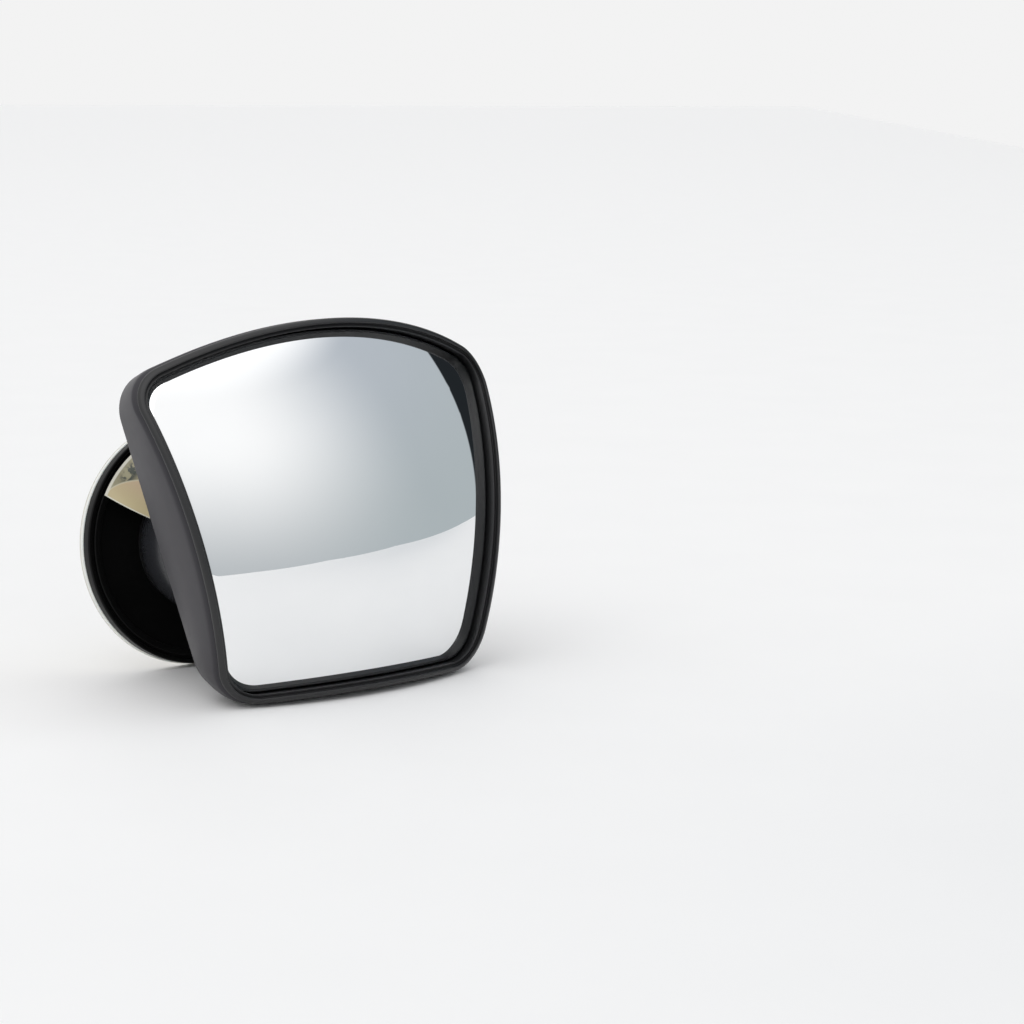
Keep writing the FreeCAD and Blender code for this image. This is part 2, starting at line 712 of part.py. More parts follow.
ring_inner = "dims.base_radius - dims.outer_ring_width - dims.groove_width - dims.inner_ring_width"
groove_outer = "dims.base_radius - dims.outer_ring_width"
groove_inner = f"{groove_outer} - dims.groove_width"
disc_blank = turned(
    "disc_blank",
    [
        ("dims.access_bore", "0"),
        ("dims.base_radius", "0"),
        ("dims.base_radius", "dims.rim_height"),
        (groove_outer, "dims.rim_height"),
        (groove_outer, "dims.groove_height"),
        (groove_inner, "dims.groove_height"),
        (groove_inner, "dims.inner_ring_height"),
        (ring_inner, "dims.inner_ring_height"),
        (ring_inner, "dims.base_floor"),
        ("dims.hub_radius", "dims.base_floor"),
        ("dims.hub_radius", hub_level),
        ("dims.access_bore", hub_level),
    ],
)
retainer_level = f"{hub_level} + dims.retainer_thickness"
retainer_angles = (90, 210, 330)
hub_pilots, retainer_holes, retainer_screws = [], [], []
for angle in retainer_angles:
    across = f"dims.retainer_screw_circle * cos({angle})"
    up = f"dims.retainer_screw_circle * sin({angle})"
    hole_radius = "dims.retainer_screw_radius + dims.screw_clearance"
    pilot_depth = "dims.retainer_screw_length - dims.retainer_thickness + dims.screw_clearance"
    hub_pilots.append(
        cylinder(f"hub_pilot_{angle}", hole_radius, pilot_depth, across, up, f"{hub_level} - ({pilot_depth})")
    )
    retainer_holes.append(
        cylinder(f"retainer_hole_{angle}", hole_radius, "dims.retainer_thickness", across, up, hub_level)
    )
    fastener = screw(
        f"retainer_screw_{angle}", "dims.retainer_screw_radius", "dims.retainer_screw_length",
        "dims.retainer_screw_head", "dims.retainer_head_height",
    )
    place(fastener, across, up, retainer_level)
    fastener.Placement.Rotation = FreeCAD.Rotation(FreeCAD.Vector(1, 0, 0), 180)
    retainer_screws.append(fastener)
base_disc = cut("base_disc", disc_blank, fuse("hub_pilots", *hub_pilots))
node(base_disc, "base_disc", "base")

retainer_blank = ring(
    "retainer_blank", "dims.hub_radius + dims.retainer_overlap", "dims.access_bore",
    "dims.retainer_thickness", hub_level,
)
turret_retainer = cut("turret_retainer", retainer_blank, fuse("retainer_holes", *retainer_holes))
node(turret_retainer, "turret_retainer", "base")
node(group("retainer_screws", *retainer_screws), "retainer_screws", "base")

foot_radius = f"sqrt(dims.dome_radius ^ 2 - (dims.dome_centre - ({foot_level})) ^ 2)"
glide_ring = ring(
    "glide_ring", f"{foot_radius} + dims.glide_overhang", "dims.hub_radius + dims.hub_fit",
    "dims.glide_thickness", "dims.base_floor",
)
node(glide_ring, "glide_ring", "base")

foam_back = "-dims.foam_thickness"
liner_back = "-dims.foam_thickness - dims.liner_thickness"
foam_disc = cylinder("foam_disc", "dims.pad_radius", "dims.foam_thickness", level=foam_back)
node(group("foam_pad", foam_disc), "foam_pad", "base")
liner_disc = cylinder("liner_disc", "dims.pad_radius", "dims.liner_thickness", level=liner_back)
node(group("release_liner", liner_disc), "release_liner", "base")

film_level = "dims.inner_ring_height + dims.film_gap"
film_top = f"{film_level} + dims.film_length * sin(dims.film_slope)"
film_reach = "dims.film_foot_radius - dims.film_length * cos(dims.film_slope)"
film_out = "dims.film_thickness * sin(dims.film_slope)"
film_up = "dims.film_thickness * cos(dims.film_slope)"
film_label = turned(
    "film_label",
    [
        ("dims.film_foot_radius", film_level),
        (f"dims.film_foot_radius + {film_out}", f"{film_level} + {film_up}"),
        (f"{film_reach} + {film_out}", f"{film_top} + {film_up}"),
        (film_reach, film_top),
    ],
    spread="dims.film_spread",
)
film_label.Placement.Rotation = FreeCAD.Rotation(FreeCAD.Vector(0, 0, 1), size("film_middle"))
node(film_label, "film_label", "base")
doc.recompute()

# ---------------------------------------------------------------------------------------------
# Stand the unit on the ground, then check and write every piece
# ---------------------------------------------------------------------------------------------
tilt = math.radians(size("shoulder_tilt"))
head_edge = size("glass_drop") + size("rim_width")
head_foot_up = -head_edge * math.cos(tilt)
head_foot_out = -size("shoulder_depth") + head_edge * math.sin(tilt)
base_foot_up = -size("pivot_down") - size("pad_radius")
base_foot_out = -size("base_behind") - size("foam_thickness") - size("liner_thickness")
lean = math.degrees(math.atan2(base_foot_up - head_foot_up, head_foot_out - base_foot_out))

upright = FreeCAD.Rotation(FreeCAD.Vector(1, 0, 0), 90 - lean)
base_origin = FreeCAD.Vector(-size("pivot_left"), -size("pivot_down"), -size("base_behind"))
pivot_origin = base_origin + FreeCAD.Vector(0, 0, size("dome_centre"))
FRAMES = {"head": FreeCAD.Vector(), "base": base_origin, "pivot": pivot_origin}


def stand(ground):
    """Places every piece upright, with the given point of the upright unit at the world's origin."""
    standing = FreeCAD.Placement(FreeCAD.Vector(), upright)
    standing.Base = -ground
    for piece, frame, own in NODES:
        drawn_at = FreeCAD.Placement(FRAMES[frame], FreeCAD.Rotation())
        piece.Placement = standing * drawn_at * own
    doc.recompute()


stand(FreeCAD.Vector())
extent = Part.makeCompound([piece.Shape for piece, _, _ in NODES]).optimalBoundingBox(False)
ground = FreeCAD.Vector(extent.Center.x, extent.Center.y, extent.ZMin)
stand(ground)

for thing in doc.Objects:
    if "Invalid" in thing.State or "Error" in thing.State:
        raise RuntimeError(f"{thing.Label} did not recompute")
os.makedirs("parts", exist_ok=True)
for piece, _, _ in NODES:
    if piece.Shape.isNull() or not piece.Shape.isValid():
        raise RuntimeError(f"{piece.Label} has no valid shape")
    piece.Shape.exportStep(f"parts/{piece.Label}.step")
    print(piece.Label, round(piece.Shape.Volume, 2), "mm3", len(piece.Shape.Solids), "solids")

for name, point in FRAMES.items():
    where = upright.multVec(point) - ground
    print("frame", name, [round(value, 4) for value in where])
print("lean back", round(lean, 4), "degrees")
print("overall", [round(value, 2) for value in (extent.XLength, extent.YLength, extent.ZLength)])
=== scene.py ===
# %% [markdown]
# # A stick-on convex mirror, looks first
# The real object is a small auxiliary mirror for a vehicle. A fan-shaped convex glass sits in a black
# moulded rim, a satin shell closes it from behind, and a ball joint carries the head on a round base
# with an adhesive foam pad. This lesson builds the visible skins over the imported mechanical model.

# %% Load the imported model
import json
import math

import bmesh
import bpy
import numpy as np
from mathutils import Matrix, Vector


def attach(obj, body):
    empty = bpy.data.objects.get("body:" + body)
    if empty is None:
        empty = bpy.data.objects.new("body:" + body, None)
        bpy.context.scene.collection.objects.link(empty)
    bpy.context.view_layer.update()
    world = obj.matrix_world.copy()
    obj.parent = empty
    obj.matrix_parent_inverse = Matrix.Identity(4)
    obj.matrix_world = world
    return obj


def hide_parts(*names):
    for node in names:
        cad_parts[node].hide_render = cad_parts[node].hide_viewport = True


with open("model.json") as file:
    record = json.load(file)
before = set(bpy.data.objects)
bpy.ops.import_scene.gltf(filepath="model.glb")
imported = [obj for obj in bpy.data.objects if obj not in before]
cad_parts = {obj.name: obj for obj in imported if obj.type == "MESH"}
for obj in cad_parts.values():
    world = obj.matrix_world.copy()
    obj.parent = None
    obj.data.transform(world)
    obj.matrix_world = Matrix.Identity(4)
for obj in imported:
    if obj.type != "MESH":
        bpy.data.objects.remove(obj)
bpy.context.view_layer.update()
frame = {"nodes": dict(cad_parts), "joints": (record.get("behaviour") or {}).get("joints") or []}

MM = 0.001

# %% [markdown]
# ## Where things are
# The head is drawn in its own directions: across, up along the glass, and out of the glass. The ball
# joint tells how far the unit leans back and where the ball's centre is, so everything else can be
# placed from it. The base is drawn on its own axis, with height zero at the back of the disc.

# %% Frames of the head and the base
spin = next(joint for joint in frame["joints"] if joint["name"] == "head_spin")
OUT = Vector(spin["axis"]).normalized()
ACROSS = Vector((1, 0, 0))
UP = OUT.cross(ACROSS)
BALL = Vector(spin["pos_m"])


def placed(origin):
    """A matrix that carries millimetres drawn in the head's directions to the object's own frame."""
    turn = Matrix((ACROSS, UP, OUT)).transposed().to_4x4()
    return Matrix.Translation(origin) @ turn @ Matrix.Scale(MM, 4)


BASE = placed(BALL - OUT * 9 * MM)
HEAD = placed(BASE @ Vector((12.5, 2.8, 49.3)))
print("leans back", round(math.degrees(math.asin(OUT.z)), 2), "degrees; glass stands out at", HEAD.translation)

# %% [markdown]
# ## The fan outline
# Every part of the head repeats one outline: straight sides that lean out, an arched top and rounded
# corners. One function gives it grown by any amount, always with the same number of points, so that
# any two of its loops can be joined point to point.

# %% The outline as a loop of points
SIDE_SLOPE = math.radians(10.3)


def arc(centre, radius, start, end, count):
    angles = np.linspace(start, end, count)
    return centre + radius * np.column_stack((np.cos(angles), np.sin(angles)))


def fan(grow, top=None, bottom=None, crown_height=39.5, crown_radius=94.0):
    """The glass outline grown by a length in millimetres, anticlockwise from the bottom left."""
    top = 6.0 + grow if top is None else top
    bottom = 7.2 + grow if bottom is None else bottom
    outward = np.array([math.cos(SIDE_SLOPE), -math.sin(SIDE_SLOPE)])
    upward = np.array([math.sin(SIDE_SLOPE), math.cos(SIDE_SLOPE)])
    reach = 35.1 * math.cos(SIDE_SLOPE) + grow
    floor = -(31.0 + grow)
    crown = crown_radius + grow
    crown_centre = np.array([0.0, crown_height - crown_radius])
    low_y = floor + bottom
    low = np.array([(reach - bottom + math.sin(SIDE_SLOPE) * low_y) / math.cos(SIDE_SLOPE), low_y])
    foot = outward * (reach - top) - crown_centre
    along = foot @ upward
    climb = -along + math.sqrt(along**2 - foot @ foot + (crown - top) ** 2)
    high = outward * (reach - top) + upward * climb
    turn = math.atan2(*(high - crown_centre)[::-1])
    corner = arc(low, bottom, -math.pi / 2, -SIDE_SLOPE, 17)
    shoulder = arc(high, top, -SIDE_SLOPE, turn, 17)
    side = corner[-1] + (shoulder[0] - corner[-1]) * np.linspace(0, 1, 26)[1:-1, None]
    half_crown = arc(crown_centre, crown, turn, math.pi / 2, 22)[1:]
    half_floor = np.column_stack((np.linspace(0, low[0], 18)[:-1], np.full(17, floor)))
    right = np.vstack((half_floor, corner, side, shoulder, half_crown))
    left = right[1:-1][::-1] * (-1, 1)
    return np.vstack((right, left))


def on_ball(outline, rise=0.0, radius=78.0):
    """Lifts a loop on to the glass's own sphere, or on to that sphere moved out by a rise."""
    depth = np.sqrt(radius**2 - (outline**2).sum(axis=1))
    return np.column_stack((outline, rise - radius + depth))


def on_plane(outline, level, tilt):
    """Lays a loop on a plane that cuts the head's axis at a level and leans back at its top."""
    angle = math.radians(tilt)
    height = level - outline[:, 1] * math.sin(angle)
    return np.column_stack((outline[:, 0], outline[:, 1] * math.cos(angle), height))


def shrunk(outline, factors):
    return [outline * factor for factor in factors]


print("outline points", len(fan(0)))

# %% [markdown]
# ## From loops to a skin
# A skin joins loops point to point. A moulded edge is never sharp, so cross-sections are given as
# corners with a radius each, and one function rounds them. Round parts use the same skin, with
# circles for loops.

# %% Skins, rounded sections and turned parts
def rounded(corners, steps=5):
    """Rounds the corners (a, b, radius) of an open section; the ends stay where they are."""
    points = [np.array(corners[0][:2], float)]
    for before, here, after in zip(corners, corners[1:], corners[2:]):
        middle = np.array(here[:2], float)
        if here[2] == 0:
            points.append(middle)
            continue
        back = np.array(before[:2]) - middle
        ahead = np.array(after[:2]) - middle
        back /= np.linalg.norm(back)
        ahead /= np.linalg.norm(ahead)
        half = math.acos(np.clip(back @ ahead, -1, 1)) / 2
        inward = (back + ahead) / np.linalg.norm(back + ahead)
        centre = middle + inward * here[2] / math.sin(half)
        start = middle + back * here[2] / math.tan(half) - centre
        end = middle + ahead * here[2] / math.tan(half) - centre
        for share in np.linspace(0, 1, steps + 1):
            spoke = start * (1 - share) + end * share
            points.append(centre + spoke * here[2] / np.linalg.norm(spoke))
    points.append(np.array(corners[-1][:2], float))
    return points


def circles(section, steps=160, middle=(0.0, 0.0)):
    """Loops of a part turned about the base's axis, from a section of (radius, height) points."""
    angles = np.linspace(0, 2 * math.pi, steps, endpoint=False)
    ring = np.column_stack((np.cos(angles), np.sin(angles)))
    return [
        np.column_stack((ring * radius + middle, np.full(steps, height))) for radius, height in section
    ]


class Skin:
    """Collects loops of points into one mesh, and turns it into a piece of the model."""

    def __init__(self):
        self.mesh = bmesh.new()

    def add(self, loops, first_closed=False, last_closed=False, round_trip=False, slots=None):
        rows = [[self.mesh.verts.new(point) for point in loop] for loop in loops]
        pairs = list(zip(rows, rows[1:]))
        if round_trip:
            pairs.append((rows[-1], rows[0]))
        for step, (lower, upper) in enumerate(pairs):
            for k in range(len(lower)):
                after = (k + 1) % len(lower)
                face = self.mesh.faces.new((lower[k], lower[after], upper[after], upper[k]))
                face.material_index = slots[step] if slots else 0
        for closed, row in ((first_closed, rows[0][::-1]), (last_closed, rows[-1])):
            if closed:
                middle = sum((vert.co for vert in row), Vector()) / len(row)
                hub = self.mesh.verts.new(middle)
                for k in range(len(row)):
                    self.mesh.faces.new((row[k], row[(k + 1) % len(row)], hub))
        return self

    def piece(self, name, matrix, materials, body=None, nodes=(), slot=None, sharp=40):
        bmesh.ops.recalc_face_normals(self.mesh, faces=self.mesh.faces)
        data = bpy.data.meshes.new(name)
        self.mesh.to_mesh(data)
        self.mesh.free()
        data.transform(matrix)
        for material in materials:
            data.materials.append(material)
        data.shade_smooth()
        data.set_sharp_from_angle(angle=math.radians(sharp))
        thing = bpy.data.objects.new(name, data)
        bpy.context.scene.collection.objects.link(thing)
        if body:
            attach(thing, body)
        if nodes:
            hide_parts(*nodes)
        print(name, len(data.vertices), "points", len(data.polygons), "faces")
        return thing


# %% [markdown]
# ## Arithmetic for materials
# A finish is a small calculation: a colour, plus a little noise, times a mask. Wrapping a socket in a
# class with the usual operators lets the recipes below read like that calculation.

# %% A value that knows arithmetic
class Value:
    """A number carried by a shader socket."""

    def __init__(self, tree, socket):
        self.tree = tree
        self.socket = socket

    def maths(self, operation, *others):
        node = self.tree.nodes.new("ShaderNodeMath")
        node.operation = operation
        for place, item in zip(node.inputs, (self, *others)):
            if isinstance(item, Value):
                self.tree.links.new(item.socket, place)
            else:
                place.default_value = item
        return Value(self.tree, node.outputs[0])

    def __add__(self, other):
        return self.maths("ADD", other)

    def __sub__(self, other):
        return self.maths("SUBTRACT", other)

    def __mul__(self, other):
        return self.maths("MULTIPLY", other)

    def __truediv__(self, other):
        return self.maths("DIVIDE", other)

    def __rsub__(self, other):
        return self * -1 + other

    __radd__ = __add__
    __rmul__ = __mul__

    def between(self, low, high):
        """Rises smoothly from 0 at low to 1 at high."""
        node = self.tree.nodes.new("ShaderNodeMapRange")
        node.interpolation_type = "SMOOTHSTEP"
        self.tree.links.new(self.socket, node.inputs["Value"])
        node.inputs["From Min"].default_value = low
        node.inputs["From Max"].default_value = high
        return Value(self.tree, node.outputs["Result"])


class Recipe:
    """A node tree to which any node can be added by name, with its settings and inputs."""

    def __init__(self, tree):
        self.tree = tree
        tree.nodes.clear()

    def put(self, place, item):
        if isinstance(item, Value):
            self.tree.links.new(item.socket, place)
        elif isinstance(item, bpy.types.NodeSocket):
            self.tree.links.new(item, place)
        elif isinstance(item, tuple) and len(item) == 3 and place.type == "RGBA":
            place.default_value = (*item, 1.0)
        else:
            place.default_value = item

    def node(self, kind, settings=None, **inputs):
        made = self.tree.nodes.new("ShaderNode" + kind)
        for name, setting in (settings or {}).items():
            setattr(made, name, setting)
        for name, item in inputs.items():
            self.put(made.inputs[name.replace("_", " ")], item)
        return made

    def value(self, socket):
        return Value(self.tree, socket)

    def noise(self, vector, scale, detail=3.0, roughness=0.5):
        made = self.node("TexNoise", None, Vector=vector, Scale=scale, Detail=detail, Roughness=roughness)
        return self.value(made.outputs["Fac"])

    def mix(self, share, first, second):
        """A colour part of the way from the first to the second."""
        made = self.node("Mix", {"data_type": "RGBA"})
        self.put(made.inputs["Factor"], share)
        self.put(made.inputs[6], first)
        self.put(made.inputs[7], second)
        return made.outputs[2]

    def along(self, vector, direction, origin=(0.0, 0.0, 0.0)):
        """How far a place lies from an origin, along a direction."""
        moved = self.node("VectorMath", {"operation": "SUBTRACT"})
        self.put(moved.inputs[0], vector)
        moved.inputs[1].default_value = origin
        made = self.node("VectorMath", {"operation": "DOT_PRODUCT"})
        self.put(made.inputs[0], moved.outputs["Vector"])
        made.inputs[1].default_value = direction
        return self.value(made.outputs["Value"])


def finish(name, **uniform):
    """A new material: its recipe, its surface shader and the place on the object, in metres."""
    material = bpy.data.materials.new(name)
    material.use_nodes = True
    recipe = Recipe(material.node_tree)
    surface = recipe.node("BsdfPrincipled", None, **uniform)
    output = recipe.node("OutputMaterial")
    recipe.put(output.inputs["Surface"], surface.outputs["BSDF"])
    where = recipe.node("TexCoord").outputs["Object"]
    return material, recipe, surface, where


# %% [markdown]
# ## Moulded plastic
# The rim, shell, dome and base are injection-moulded. Up close such plastic has a fine spark texture
# from the tool, slow drifts in gloss, and a few pale rub marks. One recipe takes the colour, the gloss
# and the size of the grain, so the parts differ only in those.

# %% Plastic finishes
def plastic(name, colour, gloss, grain=0.00035, depth=0.00002, rub=0.25, specular=0.5):
    material, recipe, surface, where = finish(name, Specular_IOR_Level=specular)
    drift = recipe.noise(where, 45.0, 4.0)
    cloud = recipe.noise(where, 420.0, 3.0)
    spark = recipe.noise(where, 1 / grain, 2.0, 0.6)
    marks = recipe.noise(where, 160.0, 6.0, 0.7).between(0.62, 0.74)
    pale = tuple(min(1.0, channel * 1.9 + 0.004) for channel in colour)
    deep = tuple(channel * 0.86 for channel in colour)
    base = recipe.mix(drift.between(0.3, 0.7), deep, colour)
    base = recipe.mix(marks * rub * 0.3, base, pale)
    recipe.put(surface.inputs["Base Color"], base)
    roughness = gloss + (drift - 0.5) * 0.10 + (cloud - 0.5) * 0.06 + marks * rub * 0.08
    recipe.put(surface.inputs["Roughness"], roughness)
    bump = recipe.node("Bump", None, Height=spark, Distance=depth, Strength=0.6)
    recipe.put(surface.inputs["Normal"], bump.outputs["Normal"])
    return material


rim_black = plastic("rim_black", (0.012, 0.012, 0.013), 0.36, grain=0.0004, depth=0.00001)
shell_grey = plastic("shell_grey", (0.027, 0.025, 0.031), 0.45, grain=0.00030, depth=0.000012, specular=0.42)
dome_black = plastic("dome_black", (0.024, 0.025, 0.029), 0.27, grain=0.0005, depth=0.000008, specular=0.6)
base_black = plastic("base_black", (0.0032, 0.0032, 0.0032), 0.36, grain=0.0006, depth=0.000006, specular=0.14)
# Near-black and barely glossy: on the glass's outermost bevel this is painted shade along the rim's inner wall; it also
# covers the glass's hidden side and back.
edge_black_and_painted_shade = plastic("edge_black_and_painted_shade", (0.0012, 0.0012, 0.0014), 0.6, rub=0.0, specular=0.05)
pad_black = plastic("pad_black", (0.03, 0.03, 0.031), 0.9, grain=0.0008, depth=0.0001)
bush_white = plastic("bush_white", (0.62, 0.61, 0.57), 0.45)
glide_grey = plastic("glide_grey", (0.19, 0.19, 0.2), 0.35)

# %% [markdown]
# ## The glass and its edge
# The glass is silvered, so it is a metal to the eye: almost white, very smooth, with the faintest
# haze of handling. Its border is ground, and shows as a pale line, a dark one and a pale one; the
# outermost band is painted near-black, a painted shade along the rim's inner wall.

# %% Mirror finishes
def mirror():
    material, recipe, surface, where = finish("silvered_glass", Metallic=1.0)
    haze = recipe.noise(where, 30.0, 5.0).between(0.35, 0.75)
    streaks = recipe.noise(where, 260.0, 2.0).between(0.5, 0.8)
    tint = recipe.mix(haze, (0.915, 0.922, 0.926), (0.885, 0.895, 0.902))
    recipe.put(surface.inputs["Base Color"], tint)
    recipe.put(surface.inputs["Roughness"], haze * 0.022 + streaks * 0.008 + 0.008)
    return material


def ground_edge(name, colour, roughness, metallic):
    material, recipe, surface, where = finish(name, Metallic=metallic)
    chips = recipe.noise(where, 1500.0, 4.0)
    recipe.put(surface.inputs["Base Color"], recipe.mix(chips, colour, tuple(c * 0.8 for c in colour)))
    recipe.put(surface.inputs["Roughness"], chips * 0.15 + roughness)
    bump = recipe.node("Bump", None, Height=chips, Distance=0.00002, Strength=0.5)
    recipe.put(surface.inputs["Normal"], bump.outputs["Normal"])
    return material


silver = mirror()
edge_pale = ground_edge("ground_edge_pale", (0.93, 0.94, 0.95), 0.06, 1.0)
edge_dark = ground_edge("ground_edge_dark", (0.10, 0.105, 0.11), 0.15, 0.5)

# %% [markdown]
# The convex glass is one sheet on a sphere of 78 mm radius. The mirrored middle gets many loops,
# because a reflection shows every flat spot, and the last two millimetres carry the ground border.

# %% Convex glass
BORDER = 0.85
inner = fan(-BORDER)
loops = [on_ball(loop) for loop in shrunk(inner, np.linspace(0.03, 1.0, 34))]
slots = [0] * 33
# The outermost band, slot 3, is painted near-black: painted shade along the rim's inner wall.
for grow, sink, slot in ((-0.68, 0.02, 2), (-0.62, 0.03, 1), (-0.26, 0.2, 1), (0.0, 0.5, 3)):
    loops.append(on_ball(fan(grow), -sink))
    slots.append(slot)
loops += [on_ball(fan(0.0), -1.85), *(on_ball(loop, -2.0) for loop in shrunk(fan(-0.2), (1.0, 0.5, 0.05)))]
slots += [3, 3, 3, 3]
glass = Skin().add(loops, first_closed=True, last_closed=True, slots=slots)
glass.piece(
    "glass_skin", HEAD, (silver, edge_pale, edge_dark, edge_black_and_painted_shade), "head", ("mirror_glass",), "mirror_glass"
)

# %% [markdown]
# ## The black rim
# The rim is the bead that frames the glass. From the glass outwards its section is a low wall, a
# narrow ledge, a step and a rounded bead, then the outer side down to the parting line. Behind the
# glass the same moulding goes on as a tray.

# %% Front frame
section = rounded(
    [
        (0.12, -2.1, 0.0), (0.12, 2.35, 0.14), (0.86, 2.35, 0.12), (0.94, 3.45, 0.34), (1.98, 3.45, 0.46),
        (1.98, 2.75, 0.3), (1.3, 1.86, 0.05), (0.5, 1.86, 0.05), (0.5, -2.6, 0.2), (-0.6, -2.6, 0.2), (-0.6, -4.3, 0.0),
    ]
)
loops = [on_ball(loop, -2.84) for loop in shrunk(fan(-1.5), (0.05, 0.5, 1.0))]
loops.append(on_ball(fan(-1.5), -2.06))
loops += [on_ball(fan(grow), rise) for grow, rise in section]
loops += [on_ball(loop, -4.4) for loop in shrunk(fan(-0.8), (1.0, 0.5, 0.05))]
rim = Skin().add(loops, first_closed=True, last_closed=True)

SCREWS = ((-25.0, 21.0), (25.0, 21.0), (-18.0, -22.0), (18.0, -22.0))
for across, up in SCREWS:
    seat = -21.8 - up * math.tan(math.radians(6.3))
    front = math.sqrt(78.0**2 - across**2 - up**2) - 78.0 - 4.3
    post = [(1.3, seat + 2.02), (3.0, seat + 2.02), (3.0, front), (1.3, front)]
    rim.add(circles(post, 24, (across, up)), round_trip=True)
rim.piece("rim_skin", HEAD, (rim_black,), "head", ("front_frame",), "front_frame", sharp=50)

# %% [markdown]
# ## The rear shell
# The wall leaves the parting line at the rim's full width and turns in gently towards a flat rear
# edge, where it rounds over into a domed back. Inside, it is hollow, with a cup for the ball and a
# post at each screw. The outside and the inside are skins of the same loops, and the cup, the posts
# and the holes are joined and cut as solids, the way a mould is made from plain volumes.

# %% Walls of the rear shell
REAR_TILT = 6.3


def back_loop(inset, depth, wall):
    outline = fan(0.2 - wall - inset, 8.0 - wall * 0.5, 8.0 - wall * 0.5)
    return on_plane(outline, -23.3 - depth, REAR_TILT)


def domed(wall):
    """The domed back, from the rear edge inwards."""
    loops = []
    for turn in (5, 11, 18, 26, 35, 45, 56, 67, 78, 90):
        angle = math.radians(turn)
        loops.append(back_loop(20 * (1 - math.cos(angle)), (5 - wall) * math.sin(angle), wall))
    last = loops[-1]
    centre = last.mean(axis=0)
    return loops + [centre + (last - centre) * factor for factor in (0.66, 0.33, 0.04)]


def waist(grow):
    return on_plane(fan(grow, crown_height=38.8, crown_radius=104.0), -15.8, 2.0)


def outside_loops():
    """The front lip, the curved wall and the domed back."""
    lip = [on_ball(fan(grow), rise) for grow, rise in ((1.2, 1.57), (1.5, 1.5), (1.76, 1.32), (1.93, 1.06))]
    front = [on_ball(loop, 1.57) for loop in shrunk(fan(1.2), (0.04, 0.35, 0.7, 0.9))]
    parting = on_ball(fan(2.0), 0.75)
    edge = back_loop(0.0, 0.0, 0.0)
    bend = waist(2.0)
    bend[:, 2] = np.minimum(bend[:, 2], parting[:, 2] - 0.9)
    first = parting + (bend - parting) * 0.92
    second = edge + (bend - edge) * 0.60
    walls = []
    for share in np.linspace(0, 1, 24):
        rest = 1 - share
        bent = rest**3 * parting + 3 * rest**2 * share * first + 3 * rest * share**2 * second
        walls.append(bent + share**3 * edge)
    return front + lip + walls + domed(0.0)


def inside_loops():
    """The room inside: straight down to the waist, then tapering with the wall."""
    front = [on_plane(loop, 6.0, 0.0) for loop in shrunk(fan(0.6), (0.04, 0.5, 1.0))]
    edge = back_loop(0.0, 0.0, 1.6)
    taper = [waist(0.5) + (edge - waist(0.5)) * share for share in np.linspace(0, 1, 8)]
    return front + [on_plane(fan(0.6), -12.0, 1.0)] + taper + domed(1.6)


def solid(name, matrix, loops, capped=True, round_trip=False):
    """A plain volume, used to build the shell and then thrown away."""
    skin = Skin().add(loops, capped, capped, round_trip)
    return skin.piece(name, matrix, ())


def combine(thing, other, operation):
    """Joins or cuts two volumes and keeps the first."""
    step = thing.modifiers.new(operation, "BOOLEAN")
    step.operation = operation
    step.solver = "EXACT"
    step.object = other
    seen = bpy.context.evaluated_depsgraph_get()
    made = bpy.data.meshes.new_from_object(thing.evaluated_get(seen))
    thing.modifiers.clear()
    thing.data = made
    bpy.data.objects.remove(other)


def drum(radius, low, high, middle=(0.0, 0.0), edge=0.0, steps=48):
    """Loops of a plain round bar, with rounded ends where an edge radius is given."""
    if edge:
        corners = [(radius * 0.5, low, 0.0), (radius, low, edge), (radius, high, edge), (radius * 0.5, high, 0.0)]
        return circles([(0.05, low), *rounded(corners), (0.05, high)], steps, middle)
    return circles([(0.05, low), (radius, low), (radius, high), (0.05, high)], steps, middle)


# %% [markdown]
# The lip where the shell meets the rim has a small radius, and so has the rear edge. Those two lines
# are all that the eye gets to read the wall, so they are drawn, not left sharp.

# %% Outside, inside, cup, posts and holes
shell = solid("shell_skin", HEAD, outside_loops())
room = solid("hollow", HEAD, inside_loops())
combine(room, solid("cup_keep", BASE, drum(14.73, 10.0, 26.45, steps=160)), "DIFFERENCE")
for across, up in SCREWS:
    keep = drum(4.0, -40.0, -19.8 - up * math.tan(math.radians(REAR_TILT)), (across, up))
    combine(room, solid("post_keep", HEAD, keep), "DIFFERENCE")
combine(shell, solid("cup_collar", BASE, drum(14.73, 17.08, 26.45, edge=0.35, steps=160)), "UNION")
combine(shell, room, "DIFFERENCE")
cup_angles = np.radians(np.linspace(-89.8, 89.8, 90))
cup = [(15.25 * math.cos(angle), 9.0 + 15.25 * math.sin(angle)) for angle in cup_angles]
combine(shell, solid("ball_room", BASE, circles(cup, 160)), "DIFFERENCE")
combine(shell, solid("bush_room", BASE, drum(3.2, 20.0, 30.0)), "DIFFERENCE")
for across, up in SCREWS:
    seat = -21.8 - up * math.tan(math.radians(REAR_TILT))
    combine(shell, solid("head_room", HEAD, drum(2.6, -40.0, seat, (across, up))), "DIFFERENCE")
    combine(shell, solid("shank_room", HEAD, drum(1.3, -40.0, -10.0, (across, up))), "DIFFERENCE")
shell.data.materials.append(shell_grey)
shell.data.shade_smooth()
shell.data.set_sharp_from_angle(angle=math.radians(32))
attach(shell, "head")
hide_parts("rear_housing")
print("shell:", len(shell.data.polygons), "faces")

# %% [markdown]
# ## The base disc
# The base is a turned shape: a thin outer ring, a narrow groove, a softer inner ring, then a deep
# flat floor and a low hub the turret turns on. Tiny radii on the ring edges catch the light as thin
# lines, which is most of what the eye sees of this black part.

